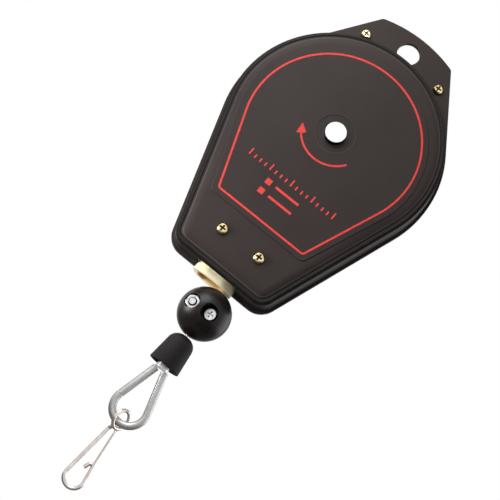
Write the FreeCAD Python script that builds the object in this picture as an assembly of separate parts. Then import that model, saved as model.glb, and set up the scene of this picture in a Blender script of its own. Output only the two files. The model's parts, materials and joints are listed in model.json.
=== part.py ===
import FreeCAD, Part
import math
import os
from FreeCAD import Vector

# Spring tool balancer: a flat pressed-steel case with a hang plate holds a spring-driven cable drum.
# The cable leaves the case through an oval nylon guide. It carries a clamped stop ball, a rubber
# cone over its crimp ferrule, a sheathed loop and a wire snap hook.
#
# Frame: millimetres, +Z up as the balancer hangs, front face towards -Y, +X to the right.
# The origin is the centre of the hang hole, in the plane where the two case shells meet.

# --- Case shells -------------------------------------------------------------------------------
sheet = 1.2                   # pressed steel, both shells
case_radius = 60.0            # rim of the round part, about the shaft
hole_above_case = 6.5         # hang hole above the top of the round part
side_angle = 19.1             # the lower sides lean in by this much
tail_length = 36.4            # lowest point of the round part down to the bottom rim
corner_radius = 11.0          # bottom corners of the rim
front_depth = 14.3            # meeting plane to the front face
rear_depth = 16.0             # meeting plane to the back face
rim_width = 1.4               # flat rim outside the walls
wall_lean = 0.8               # how far a wall leans in over its height

ledge_width = 0.8             # the two small ledges pressed round the front face
ledge_step = 1.1              # height between the two ledges
ledge_drop = 2.4              # front face back to the lower ledge
slope_width = 5.0             # gentle slope from the groove up to the face
edge_round = 0.5              # soft edges of the pressing
groove_sink = 0.35            # groove between the upper ledge and the slope
rear_bend = 4.5               # round shoulder of the rear shell
tightest_corner = 1.0         # smallest bend inside the dishes

pad_raise = 0.4               # raised panel that carries the printing
pad_inset = 10.4              # case rim to the panel's round part
pad_centre_drop = 2.4         # shaft down to the centre of the panel's round part
pad_side_angle = 21.2
pad_bottom_up = 32.5          # bottom rim up to the panel's lower edge
pad_corner_radius = 4.0
dimple_radius = 10.4          # shallow ring pressed round the shaft hole
dimple_depth = 0.3
window_radius = 6.7           # shaft hole in the front shell

# --- Hang plate --------------------------------------------------------------------------------
plate_side_angle = 33.4       # the plate's sides leave the round rim here
plate_top_radius = 72.0       # gentle curve of the top edge
plate_top = 11.4              # top edge above the hang hole
plate_corner = 2.5
hang_hole_radius = 6.25

# --- Case fasteners ----------------------------------------------------------------------------
plate_screw_x = 24.3
plate_screw_drop = 6.2        # hang hole down to the two plate screws
plate_screw_radius = 1.5
plate_head_radius = 2.75
plate_nut_half = 2.75         # half across flats
case_screw_x = 11.6
case_screw_up = 20.7          # bottom rim up to the two lower screws
case_screw_radius = 1.75
case_head_radius = 3.0
case_nut_half = 3.15          # half across flats
spacer_radius = 3.0
hole_clearance = 0.1          # screw holes over their screws
head_height = 1.9
nut_height = 2.4
recess_width = 0.75           # cross recess in the heads
recess_depth = 1.1
recess_share = 0.6            # reach of the cross, of the head's radius
nut_rounding = 1.08           # turned corners of a nut, of half its width
screw_end = 0.6               # screw's end past its nut

# --- Cable guide -------------------------------------------------------------------------------
guide_half_length = 12.0      # half the oval's length along X
guide_half_depth = 8.8        # half the oval's depth along Y
guide_below = 1.5             # how far the guide stands below the rim
guide_collar = 1.5            # inner collar: height, and overhang past the window
guide_bore_offset = -4.5        # bore's oval inside the outline
guide_flare = 1.2
window_gap = 0.2              # window in the walls over the guide
window_front = 11.3           # in front the window reaches up to the lower ledge
wall_gap = 0.35               # collar above the wall's inner side

# --- Cable -------------------------------------------------------------------------------------
cable_radius = 1.0
cable_lean = 2.4              # the line of pull runs through the hang hole, off the case's middle
pitch_radius = 42.0           # cable on the drum
cable_width = 7.8             # three turns side by side
lead_gap = 0.3                # straight cable clear of the wound turns

# --- Drum, spring and shaft --------------------------------------------------------------------
arbor_radius = 11.0
journal_radius = 6.5
front_end_radius = 5.9
front_end_stand = 2.3         # bright shaft end, proud of the raised panel
rear_journal_radius = 5.0
running_gap = 0.05            # radial, between shaft and bushes
seat_gap = 0.03               # radial, bushes in their holes
side_gap = 0.2                # along the shaft
drum_front = -9.2
drum_rear = 7.1
drum_web = 2.2
drum_wall = 3.0
drum_flange_radius = 50.0
drum_flange = 1.5
cover_thickness = 1.6
bush_wall = 2.0
bush_flange = 3.0             # collars and washers outside their bushes
front_bush_collar = 1.9
rear_bush_collar = 1.4
shaft_chamfer = 0.5
rear_end_radius = 3.9         # round end behind the ratchet wheel
rear_end_stand = 0.6          # past the back face
ring_thickness = 0.6          # retaining ring behind the wheel
ring_groove_depth = 0.7
ring_clearance = 0.1
ring_height = 2.0             # ring outside the shaft's round end
spring_slot_depth = 4.0       # slot in the arbor for the spring's inner end
spring_slot_width = 1.2
hub_radius = 13.0
cover_screw_radius = 0.8
cover_head_radius = 1.4
cover_head = 1.1
cover_screw_length = 3.8
drum_windows = 5
drum_window_radius = 5.5
spring_strip = 0.8
spring_width = 12.0
spring_turns = 5
spring_gap = 0.4              # strip's ends clear of the arbor and of the drum

# --- Ratchet behind the case -------------------------------------------------------------------
recess_radius = 27.0          # round recess in the back face
recess_sink = 4.0
ratchet_teeth = 12
ratchet_tip_radius = 14.0
ratchet_root_radius = 11.5
ratchet_thickness = 2.8
square_half = 4.0             # square seat of the ratchet wheel
key_half_width = 2.0          # hexagon socket in the shaft's rear end, half across flats
key_depth = 6.0
pawl_pivot_x = -15.5          # from the shaft
pawl_pivot_up = 14.5
pawl_thickness = 2.4
pawl_eye_radius = 3.3
pawl_pin_radius = 1.5
tooth_gap = 0.3               # pawl nose to the tooth
pawl_lift = 0.3               # pawl above the recess floor
pawl_relief = 1.3             # arm's underside above the nose's tip
pawl_nose = 2.0               # width of the nose
pawl_rise = 0.8               # arm above the teeth's tips
pawl_tail = 8.5               # pin to the thumb tab
pawl_tail_half = 2.4          # half the tail's width at the pin
pawl_tab_radius = 1.6
pawl_tab_stand = 1.4          # thumb tab past the back face
pawl_wire = 0.3               # half the wire of the pawl's spring
pawl_wire_gap = 0.1
pawl_leg = 8.5
rivet_flange = 1.0            # rivet heads outside the pin
rivet_head = 0.8

# --- Stop ball ---------------------------------------------------------------------------------
ball_radius = 13.8
ball_seat_gap = 0.3           # ball below the guide
ball_split = 0.3              # half the gap between the clamped halves
ball_screw_x = 5.3
ball_screw_radius = 1.9
ball_bolt_head_radius = 2.9
ball_bolt_head = 2.6
ball_bore_radius = 4.4        # counterbore of a screw head
ball_rim_radius = 4.1         # round mouth of a nut's pocket
ball_nut_half = 3.5           # M4 nut, half across flats
ball_nut_height = 3.2
ball_nut_floor = 7.2          # split plane out to the seats of the nuts
ball_head_floor = 6.0         # and to the seats of the heads
ball_screw_end = 0.8          # screw's end past its nut

# --- Cone, ferrule and loop --------------------------------------------------------------------
cone_below_ball = 0.9
cone_length = 18.0
cone_neck_radius = 2.6
cone_shoulder_radius = 7.2
cone_shoulder_drop = 5.4      # cone's top down to its shoulder
cone_crown = 3.8              # solid rubber over the ferrule
cone_mouth = 4.0              # height of the flared mouth
cone_base_radius = 8.6
cone_wall = 1.6
ferrule_radius = 3.7
ferrule_length = 16.0
ferrule_below = 2.0           # ferrule end below the cone's base
loop_radius = 8.7             # cable's middle line round the bottom of the loop
loop_length = 32.6            # ferrule end to the bottom of the loop's middle line
loop_spread = 2.4             # half distance of the two limbs at the ferrule
sleeve_radius = 1.95
sleeve_bore = 1.1
sleeve_cut = 0.6              # sleeve's cut ends below the ferrule
loop_end_gap = 0.32            # cable's slanted ends below the ferrule
sleeve_joint_up = 11.2        # joint of smooth sleeve and wound sheath, above the loop's bottom

# --- Snap hook ---------------------------------------------------------------------------------
wire_radius = 0.95
gate_wire_radius = 0.7
eye_radius = 4.9              # wire's middle line round the eye
eye_turn = 55.0               # the eye is twisted out of the hook's plane
eye_gap = 0.3                 # eye below the loop
hook_length = 35.0            # eye's lowest point down to the hook's lowest point
bow_radius = 5.1              # bottom bend
bow_shift = 0.55              # its centre left of the line of pull
neck_shift = 2.3              # back leg's top beside the line of pull
neck_drop = 1.6               # and below the eye
neck_turn = 22.0              # place on the eye where the two legs leave it
riser_lean = 8.0
riser_length = 8.0
tip_bend = 1.3                # the tip's turn over the gate
tip_angle = 150.0
tip_length = 2.6
gate_top_x = 1.5
gate_top_drop = 2.4           # gate's upper end below the eye
gate_gap = 0.3                # gate's upper end clear of the stub
gate_stub = 0.9
gate_low_x = 3.3
gate_low_up = 11.0            # gate's end above the hook's lowest point
gate_behind = 2.2             # the gate's end lies behind the tip

# Derived places
shaft_z = -(case_radius + hole_above_case)
bottom_z = shaft_z - case_radius - tail_length
case_screw_z = bottom_z + case_screw_up
front_y = -front_depth
rear_y = rear_depth
front_inner_y = front_y + sheet
rear_inner_y = rear_y - sheet
front_shoulder_y = front_inner_y + front_bush_collar + side_gap
recess_floor_y = rear_y - recess_sink
recess_inner_y = recess_floor_y - sheet
wheel_y = recess_floor_y + side_gap
wheel_end_y = wheel_y + ratchet_thickness
pawl_y = recess_floor_y + pawl_lift
pawl_end_y = pawl_y + pawl_thickness
pawl_coil_y = pawl_end_y + pawl_wire_gap + pawl_wire
pawl_pin_head_y = pawl_coil_y + pawl_wire + pawl_wire_gap
pawl_pivot_z = shaft_z + pawl_pivot_up
guide_bottom_z = bottom_z - guide_below
ball_drop = (-guide_bottom_z + ball_seat_gap + ball_radius) / math.cos(math.radians(cable_lean))
line_x = ball_drop * math.sin(math.radians(cable_lean))
cone_z = -ball_drop - ball_radius - cone_below_ball
cone_base_z = cone_z - cone_length
ferrule_end_z = cone_base_z - ferrule_below
loop_bottom_z = ferrule_end_z - loop_length
eye_bottom_z = loop_bottom_z - sleeve_radius - eye_gap - wire_radius
eye_centre_z = eye_bottom_z + eye_radius
hook_bottom_z = eye_bottom_z - hook_length
groove_root = pitch_radius - cable_radius
pocket_radius = groove_root - drum_wall
spring_middle_y = (drum_front + drum_web + drum_rear) / 2
spare = 1.0                   # cutters reach this far past the piece
touch = 0.01                  # edges this near a place are at it
Y_AXIS = Vector(0, 1, 0)
Z_AXIS = Vector(0, 0, 1)


# --- Small builders ----------------------------------------------------------------------------
def rod(x, z, radius, y_start, y_end):
    """Cylinder along Y."""
    return Part.makeCylinder(radius, y_end - y_start, Vector(x, y_start, z), Y_AXIS)


def tube(x, z, outer, inner, y_start, y_end):
    return rod(x, z, outer, y_start, y_end).cut(rod(x, z, inner, y_start - spare, y_end + spare))


def stick(start, end, radius):
    """Round bar between two points."""
    return Part.makeCylinder(radius, (end - start).Length, start, end - start)


def box(x_range, y_range, z_range):
    size = [r[1] - r[0] for r in (x_range, y_range, z_range)]
    return Part.makeBox(size[0], size[1], size[2], Vector(x_range[0], y_range[0], z_range[0]))


def polar(centre_x, centre_z, radius, degrees):
    """Point in the XZ plane at an angle from +X, counter-clockwise seen from the front."""
    turn = math.radians(degrees)
    return Vector(centre_x + radius * math.cos(turn), 0, centre_z + radius * math.sin(turn))


def arc(centre_x, centre_z, radius, start, end):
    middle = (start + end) / 2
    points = [polar(centre_x, centre_z, radius, angle) for angle in (start, middle, end)]
    return Part.Arc(*points).toShape()


def line(start, end):
    return Part.LineSegment(start, end).toShape()


def polygon_wire(points):
    return Part.makePolygon(points + [points[0]])


def prism(wire, y_start, y_end):
    """Solid from a closed wire in the XZ plane."""
    face = Part.Face(wire)
    face.translate(Vector(0, y_start, 0))
    return face.extrude(Vector(0, y_end - y_start, 0))


def revolve_about_shaft(profile):
    """Solid of revolution about the shaft from (radius, y) corners."""
    points = [Vector(radius, y, shaft_z) for radius, y in profile]
    return Part.Face(polygon_wire(points)).revolve(Vector(0, 0, shaft_z), Y_AXIS, 360)


def revolve_about_cable(profile):
    """Solid of revolution about the vertical cable line from (radius, z) corners."""
    points = [Vector(radius, 0, z) for radius, z in profile]
    return Part.Face(polygon_wire(points)).revolve(Vector(0, 0, 0), Z_AXIS, 360)


def hexagon(x, z, half_flats, y_start, y_end):
    """Six-sided bar along Y with a corner at the top."""
    corner = half_flats / math.cos(math.radians(30))
    points = [polar(x, z, corner, 60 * k + 30) for k in range(6)]
    return prism(polygon_wire(points), y_start, y_end)


def fuse(shapes):
    result = shapes[0].multiFuse(shapes[1:]) if len(shapes) > 1 else shapes[0]
    return result.removeSplitter()


def cut(shape, tools):
    return shape.cut(tools if len(tools) > 1 else tools[0])


def both_sides(builder):
    """Two like solids, left and right, in one node."""
    return Part.makeCompound([builder(-1), builder(1)])


def lean_with_cable(shape):
    """Turn a shape built under the hang hole into the line of pull."""
    leaned = shape.copy()
    leaned.rotate(Vector(0, 0, 0), Y_AXIS, -cable_lean)
    return leaned


# --- Outlines ----------------------------------------------------------------------------------
def teardrop(radius, centre_z, side, bottom, corner, y=0.0):
    """Round top, straight sides that touch it, and a flat bottom with rounded corners."""
    normal = math.radians(-side)
    corner_z = bottom + corner
    corner_x = (radius - corner - (corner_z - centre_z) * math.sin(normal)) / math.cos(normal)
    edges = [
        arc(0, centre_z, radius, -side, 90),
        arc(0, centre_z, radius, 90, 180 + side),
        line(polar(0, centre_z, radius, 180 + side), polar(-corner_x, corner_z, corner, 180 + side)),
        arc(-corner_x, corner_z, corner, 180 + side, 270),
        line(polar(-corner_x, corner_z, corner, 270), polar(corner_x, corner_z, corner, -90)),
        arc(corner_x, corner_z, corner, -90, -side),
        line(polar(corner_x, corner_z, corner, -side), polar(0, centre_z, radius, -side)),
    ]
    wire = Part.Wire(edges)
    wire.translate(Vector(0, y, 0))
    return wire


def case_outline(inset, y=0.0):
    """Rim outline of the case, moved inwards by inset."""
    corner = corner_radius - inset
    return teardrop(case_radius - inset, shaft_z, side_angle, bottom_z + inset, corner, y)


def pad_outline(inset=0):
    radius = case_radius - pad_inset - inset
    centre = shaft_z - pad_centre_drop
    return teardrop(radius, centre, pad_side_angle, bottom_z + pad_bottom_up + inset, pad_corner_radius)


def pressed_form(sections, direction):
    """Solid dish from (inset, depth) sections; direction is -1 to the front, +1 to the back."""
    wires = [case_outline(inset, direction * depth) for inset, depth in sections]
    return Part.makeLoft(wires, True, True)


def hollow_sections(sections, thickness):
    """The dish's inner side, one sheet further in and open past the meeting plane."""
    widest = corner_radius - tightest_corner
    inner = [(min(inset + thickness, widest), depth - thickness) for inset, depth in sections[1:]]
    return [(rim_width + thickness, -spare)] + inner


def rim_plate(direction):
    """Flat rim of one shell, drawn up to the hang plate at the top."""
    right = polar(0, shaft_z, case_radius, plate_side_angle)
    left = Vector(-right.x, 0, right.z)
    top_centre = plate_top - plate_top_radius
    side = math.radians(plate_side_angle)
    # The corner is where the tangent side meets the top curve.
    along = Vector(-math.sin(side), 0, math.cos(side))
    offset = Vector(right.x, 0, right.z - top_centre)
    forward = -offset.dot(along)
    reach = forward + math.sqrt(forward ** 2 - offset.dot(offset) + plate_top_radius ** 2)
    corner = right + along * reach
    mirrored = Vector(-corner.x, 0, corner.z)
    plate = Part.Wire([
        line(left, right),
        line(right, corner),
        Part.Arc(corner, Vector(0, 0, plate_top), mirrored).toShape(),
        line(mirrored, left),
    ])
    blank = prism(case_outline(0), 0, direction * sheet)
    ears = prism(plate, 0, direction * sheet)
    corners = [e for e in ears.Edges if abs(abs(e.Vertexes[0].X) - corner.x) < touch
               and abs(abs(e.Vertexes[-1].X) - corner.x) < touch
               and abs(e.Vertexes[0].Y - e.Vertexes[-1].Y) > sheet / 2]
    ears = ears.makeFillet(plate_corner, corners)
    return fuse([blank, ears])


# --- Case --------------------------------------------------------------------------------------
def case_holes():
    """Holes that both shells share."""
    reach = front_depth + rear_depth
    holes = [rod(0, 0, hang_hole_radius, -reach, reach)]
    for side in (-1, 1):
        holes.append(rod(side * plate_screw_x, -plate_screw_drop,
                         plate_screw_radius + hole_clearance, -reach, reach))
        holes.append(rod(side * case_screw_x, case_screw_z,
                         case_screw_radius + hole_clearance, -reach, reach))
    return holes


def guide_window():
    """Opening through the bottom walls and rims for the cable guide."""
    half_length = guide_half_length + window_gap
    half_depth = guide_half_depth + window_gap
    top = bottom_z + corner_radius
    return box((-half_length, half_length), (-window_front, half_depth), (bottom_z - spare, top))


def front_sections():
    """Section of the front dish from the rim over the two ledges and the groove to the face."""
    low = front_depth - ledge_drop
    high = low + ledge_step
    wall_top = rim_width + wall_lean
    first = wall_top + edge_round
    second = first + ledge_width
    groove = second + ledge_width + edge_round
    slope_rise = front_depth - high
    return [
        (rim_width, 0),
        (wall_top, low - edge_round),
        (first, low),
        (second, low),
        (second, high),
        (second + ledge_width, high),
        (groove, high - groove_sink),
        (groove + 0.5 * slope_width, high + 0.65 * slope_rise),
        (groove + slope_width, front_depth),
    ]


def rear_sections():
    """Section of the rear dish: a leaning wall and one round shoulder."""
    wall_top = rim_width + wall_lean
    sections = [(rim_width, 0)]
    for degrees in (0, 45, 90):
        turn = math.radians(degrees)
        sections.append((wall_top + rear_bend * (1 - math.cos(turn)),
                         rear_depth - rear_bend * (1 - math.sin(turn))))
    return sections


def front_shell():
    pad = prism(pad_outline(), front_y + sheet / 2, front_y - pad_raise)
    pad_edges = [e for e in pad.Edges if abs(e.Vertexes[0].Y - front_y + pad_raise) < touch
                 and abs(e.Vertexes[-1].Y - front_y + pad_raise) < touch]
    pad = pad.makeChamfer(pad_raise * 0.9, pad_edges)
    body = fuse([rim_plate(-1), pressed_form(front_sections(), -1), pad])
    outside = front_sections()
    inside = [outside[k] for k in (0, 1, 3, 6, 8)]
    hollow = pressed_form(hollow_sections(inside, sheet), -1)
    dimple = rod(0, shaft_z, dimple_radius, front_y - pad_raise - spare, front_y - pad_raise + dimple_depth)
    window = rod(0, shaft_z, window_radius, front_y - 2 * spare, front_inner_y + spare)
    return cut(body, [hollow, dimple, window, guide_window()] + case_holes())


def rear_shell():
    body = fuse([rim_plate(1), pressed_form(rear_sections(), 1)])
    hollow = pressed_form(hollow_sections(rear_sections(), sheet), 1)
    cup = rod(0, shaft_z, recess_radius + sheet, recess_inner_y, rear_y)
    pocket = rod(0, shaft_z, recess_radius, recess_floor_y, rear_y + spare)
    bush_hole = rod(0, shaft_z, rear_journal_radius + bush_wall,
                    recess_inner_y - spare, recess_floor_y + spare)
    pin_hole = rod(pawl_pivot_x, pawl_pivot_z, pawl_pin_radius,
                   recess_inner_y - spare, recess_floor_y + spare)
    body = fuse([cut(body, [hollow]), cup])
    return cut(body, [pocket, bush_hole, pin_hole, guide_window()] + case_holes())


# --- Screws and nuts ---------------------------------------------------------------------------
def pan_screw(x, z, radius, head_radius, under_head_y, tip_y):
    """Pan-head screw along Y, head to the front, with a cross recess."""
    top_y = under_head_y - head_height
    rim_y = under_head_y - 0.45 * head_height
    low_disc = rod(x, z, head_radius, rim_y, under_head_y)
    crown = Part.makeCone(head_radius * 0.68, head_radius, rim_y - top_y, Vector(x, top_y, z), Y_AXIS)
    shank = rod(x, z, radius, under_head_y, tip_y)
    recess_y = (top_y - spare, top_y + recess_depth)
    return cut(fuse([crown, low_disc, shank]), cross(x, z, head_radius * recess_share, recess_y))


def cross(x, z, arm, y_range):
    """The two slots of a cross recess."""
    half = recess_width / 2
    return [box((x - arm, x + arm), y_range, (z - half, z + half)),
            box((x - half, x + half), y_range, (z - arm, z + arm))]


def nut(x, z, half_flats, bore, y_start, y_end):
    return hexagon(x, z, half_flats, y_start, y_end).cut(rod(x, z, bore, y_start - spare, y_end + spare))


def plate_screw(side):
    tip = sheet + nut_height + screw_end
    return pan_screw(side * plate_screw_x, -plate_screw_drop, plate_screw_radius,
                     plate_head_radius, -sheet, tip)


def plate_nut(side):
    return nut(side * plate_screw_x, -plate_screw_drop, plate_nut_half,
               plate_screw_radius, sheet, sheet + nut_height)


def case_screw(side):
    return pan_screw(side * case_screw_x, case_screw_z, case_screw_radius,
                     case_head_radius, front_y, rear_y + nut_height + screw_end)


def case_nut(side):
    return nut(side * case_screw_x, case_screw_z, case_nut_half,
               case_screw_radius, rear_y, rear_y + nut_height)


def case_spacer(side):
    return tube(side * case_screw_x, case_screw_z, spacer_radius,
                case_screw_radius + hole_clearance, front_inner_y, rear_inner_y)


# --- Guide and cable inside the case -----------------------------------------------------------
def oval_wire(grow, z):
    """Oval of two round ends and straight sides, grown from the guide's outline."""
    half_depth = guide_half_depth + grow
    half_length = guide_half_length + grow
    shift = half_length - half_depth
    edges = [
        Part.Arc(Vector(shift, -half_depth, z), Vector(half_length, 0, z),
                 Vector(shift, half_depth, z)).toShape(),
        line(Vector(shift, half_depth, z), Vector(-shift, half_depth, z)),
        Part.Arc(Vector(-shift, half_depth, z), Vector(-half_length, 0, z),
                 Vector(-shift, -half_depth, z)).toShape(),
        line(Vector(-shift, -half_depth, z), Vector(shift, -half_depth, z)),
    ]
    return Part.Wire(edges)


def oval_bar(grow, z_start, z_end):
    return Part.Face(oval_wire(grow, z_start)).extrude(Vector(0, 0, z_end - z_start))


def flare(end_z, inwards):
    """Funnel that widens the guide's bore towards one end."""
    deep = Part.Wire(oval_wire(guide_bore_offset, end_z + inwards * guide_flare))
    wide = Part.Wire(oval_wire(guide_bore_offset + guide_flare, end_z))
    beyond = Part.Wire(oval_wire(guide_bore_offset + guide_flare, end_z - inwards))
    return Part.makeLoft([deep, wide, beyond], True, True)


def cable_guide():
    """Oval nylon eye: its waist fills the window, its collar holds it behind the walls."""
    wall_inner = bottom_z + rim_width + wall_lean + sheet
    collar_low = wall_inner + wall_gap
    collar_top = collar_low + guide_collar
    waist = oval_bar(0, guide_bottom_z, collar_low)
    collar = oval_bar(guide_collar, collar_low, collar_top)
    body = fuse([waist, collar])
    bore = oval_bar(guide_bore_offset, guide_bottom_z - spare, collar_top + spare)
    mouth = flare(guide_bottom_z, 1)
    throat = flare(collar_top, -1)
    return cut(body, [bore, mouth, throat])


def cable_points():
    """Where the cable leaves the drum, where it is in the guide, and where it meets the ball."""
    mouth = Vector(line_x * (ball_drop - ball_radius) / ball_drop, 0, -(ball_drop - ball_radius))
    away_x = mouth.x
    away_z = mouth.z - shaft_z
    distance = math.hypot(away_x, away_z)
    turn = math.degrees(math.atan2(away_z, away_x) - math.acos(pitch_radius / distance))
    leave = polar(0, shaft_z, pitch_radius, turn)
    along = (mouth - leave).normalize()
    guide_middle = leave + along * ((bottom_z + rim_width - leave.z) / along.z)
    return leave, guide_middle, mouth, along


def cable_lead():
    """Cable from the drum to the middle of the guide."""
    leave, guide_middle, mouth, along = cable_points()
    wound_outer = pitch_radius + cable_radius + lead_gap
    start = math.sqrt(wound_outer ** 2 - groove_root ** 2)
    return stick(leave + along * start, guide_middle, cable_radius)


def free_cable():
    """Cable from the guide to the ball: the stretch that grows as the cable is pulled out."""
    leave, guide_middle, mouth, along = cable_points()
    return stick(guide_middle, mouth - along * cable_radius, cable_radius)


# --- Drum --------------------------------------------------------------------------------------
def cable_drum():
    """Grooved rim, spring pocket open to the back, and a web with round windows in front."""
    bore = journal_radius + running_gap + bush_wall
    groove = cable_width / 2 + hole_clearance
    web_back = drum_front + drum_web
    profile = [
        (bore, drum_front), (groove_root, drum_front),
        (groove_root, -groove - drum_flange), (drum_flange_radius, -groove - drum_flange),
        (drum_flange_radius, -groove - drum_flange / 2), (groove_root, -groove),
        (groove_root, groove), (drum_flange_radius, groove + drum_flange / 2),
        (drum_flange_radius, groove + drum_flange), (groove_root, groove + drum_flange),
        (groove_root, drum_rear), (pocket_radius, drum_rear), (pocket_radius, web_back),
        (bore, web_back),
    ]
    windows = []
    for k in range(drum_windows):
        centre = polar(0, shaft_z, (hub_radius + pocket_radius) / 2, 360 * k / drum_windows)
        windows.append(rod(centre.x, centre.z, drum_window_radius, drum_front - spare, web_back + spare))
    return cut(revolve_about_shaft(profile), windows + cover_screw_holes())


def cover_screw_places():
    return [polar(0, shaft_z, groove_root - drum_wall / 2, 90 * k + 45) for k in range(4)]


def cover_screw_holes():
    deep = drum_rear - cover_screw_length - hole_clearance
    return [rod(place.x, place.z, cover_screw_radius + running_gap, deep, drum_rear + 2 * cover_thickness)
            for place in cover_screw_places()]


def drum_cover():
    bore = journal_radius + running_gap + bush_wall
    disc = tube(0, shaft_z, groove_root - side_gap, bore, drum_rear, drum_rear + cover_thickness)
    return cut(disc, cover_screw_holes())


def cover_screws():
    screws = []
    for place in cover_screw_places():
        seat = drum_rear + cover_thickness
        head = rod(place.x, place.z, cover_head_radius, seat, seat + cover_head)
        shank = rod(place.x, place.z, cover_screw_radius, drum_rear - cover_screw_length, seat)
        screws.append(fuse([head, shank]))
    return Part.makeCompound(screws)


def drum_bushes():
    inner = journal_radius + running_gap
    outer = inner + bush_wall - seat_gap
    front = tube(0, shaft_z, outer, inner, drum_front, drum_front + drum_web)
    rear = tube(0, shaft_z, outer, inner, drum_rear, drum_rear + cover_thickness)
    return Part.makeCompound([front, rear])


def mainspring():
    """Flat spiral of strip, in half turns about two centres."""
    start = arbor_radius + spring_gap
    room = pocket_radius - spring_gap - spring_strip - start
    pitch = room / (spring_turns + 0.5)
    outer_edges = []
    inner_edges = []
    for half in range(2 * spring_turns):
        radius = start + half * pitch / 2
        centre = 0 if half % 2 == 0 else pitch / 2
        first = 0 if half % 2 == 0 else 180
        outer_edges.append(arc(centre, shaft_z, radius + spring_strip, first, first + 180))
        inner_edges.append(arc(centre, shaft_z, radius, first, first + 180))
    last = start + spring_turns * pitch
    ends = [line(Vector(start, 0, shaft_z), Vector(start + spring_strip, 0, shaft_z)),
            line(Vector(last, 0, shaft_z), Vector(last + spring_strip, 0, shaft_z))]
    wire = Part.Wire(Part.__sortEdges__(outer_edges + inner_edges + ends))
    return prism(wire, spring_middle_y - spring_width / 2, spring_middle_y + spring_width / 2)


def wound_cable():
    return tube(0, shaft_z, pitch_radius + cable_radius, groove_root, -cable_width / 2, cable_width / 2)


# --- Shaft and its bearings --------------------------------------------------------------------
def spring_shaft():
    """Bright front end, arbor for the spring, square for the wheel and a grooved rear end."""
    front_tip = front_y - pad_raise - front_end_stand
    web_back = drum_front + drum_web + side_gap
    cover_back = drum_rear + cover_thickness + side_gap
    ring_start = wheel_end_y + ring_clearance
    rear_tip = rear_y + rear_end_stand
    tip = rod(0, shaft_z, front_end_radius, front_tip, front_shoulder_y)
    rim = [e for e in tip.Edges if len(e.Vertexes) == 1 and abs(e.Vertexes[0].Y - front_tip) < touch]
    square = box((-square_half, square_half), (wheel_y, ring_start),
                 (shaft_z - square_half, shaft_z + square_half))
    body = fuse([
        tip.makeChamfer(shaft_chamfer, rim),
        rod(0, shaft_z, journal_radius, front_shoulder_y, web_back),
        rod(0, shaft_z, arbor_radius, web_back, drum_rear - side_gap),
        rod(0, shaft_z, journal_radius, drum_rear - side_gap, cover_back),
        rod(0, shaft_z, rear_journal_radius, cover_back, wheel_y),
        square,
        rod(0, shaft_z, rear_end_radius, ring_start, rear_tip),
    ])
    slot_half = spring_slot_width / 2
    slot_y = (spring_middle_y - spring_width / 2, spring_middle_y + spring_width / 2)
    spring_slot = box((arbor_radius - spring_slot_depth, arbor_radius + spare), slot_y,
                      (shaft_z - slot_half, shaft_z + slot_half))
    key = hexagon(0, shaft_z, key_half_width, rear_tip - key_depth, rear_tip + spare)
    groove = tube(0, shaft_z, square_half + spare, rear_end_radius - ring_groove_depth,
                  ring_start, ring_start + ring_thickness + ring_clearance)
    return cut(body, [spring_slot, key, groove])


def front_bush():
    """Black bush in the front shell's window, with a collar inside the case."""
    inner = front_end_radius + running_gap
    sleeve = tube(0, shaft_z, window_radius - seat_gap, inner, front_y + side_gap, front_inner_y)
    collar = tube(0, shaft_z, window_radius + bush_flange, inner,
                  front_inner_y, front_inner_y + front_bush_collar)
    return fuse([sleeve, collar])


def rear_bush():
    """Bush in the floor of the back recess, with a collar inside the case."""
    inner = rear_journal_radius + running_gap
    outer = rear_journal_radius + bush_wall
    sleeve = tube(0, shaft_z, outer - seat_gap, inner, recess_inner_y, recess_floor_y)
    collar = tube(0, shaft_z, outer + bush_flange, inner, recess_inner_y - rear_bush_collar, recess_inner_y)
    return fuse([sleeve, collar])


def thrust_washer():
    """Washer between the front bush and the drum."""
    return tube(0, shaft_z, journal_radius + bush_flange, journal_radius + running_gap,
                front_shoulder_y, drum_front - side_gap)


def shaft_retaining_ring():
    """Open ring in the groove behind the ratchet wheel."""
    start = wheel_end_y + ring_clearance + ring_clearance / 2
    inner = rear_end_radius - ring_groove_depth + running_gap
    ring = tube(0, shaft_z, rear_end_radius + ring_height, inner, start, start + ring_thickness)
    mouth = box((0, rear_end_radius + ring_height + spare), (start - spare, start + ring_thickness + spare),
                (shaft_z - inner / 2, shaft_z + inner / 2))
    return ring.cut(mouth)


# --- Ratchet -----------------------------------------------------------------------------------
def ratchet_wheel():
    """Saw-toothed wheel on the shaft's square; the steep faces look counter-clockwise."""
    step = 360.0 / ratchet_teeth
    points = []
    for k in range(ratchet_teeth):
        foot = 90 + k * step
        points.append(polar(0, shaft_z, ratchet_root_radius, foot))
        points.append(polar(0, shaft_z, ratchet_tip_radius, foot + step))
    body = prism(polygon_wire(points), wheel_y, wheel_end_y)
    half = square_half + seat_gap
    seat = box((-half, half), (wheel_y - spare, wheel_end_y + spare), (shaft_z - half, shaft_z + half))
    return body.cut(seat)


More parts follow.
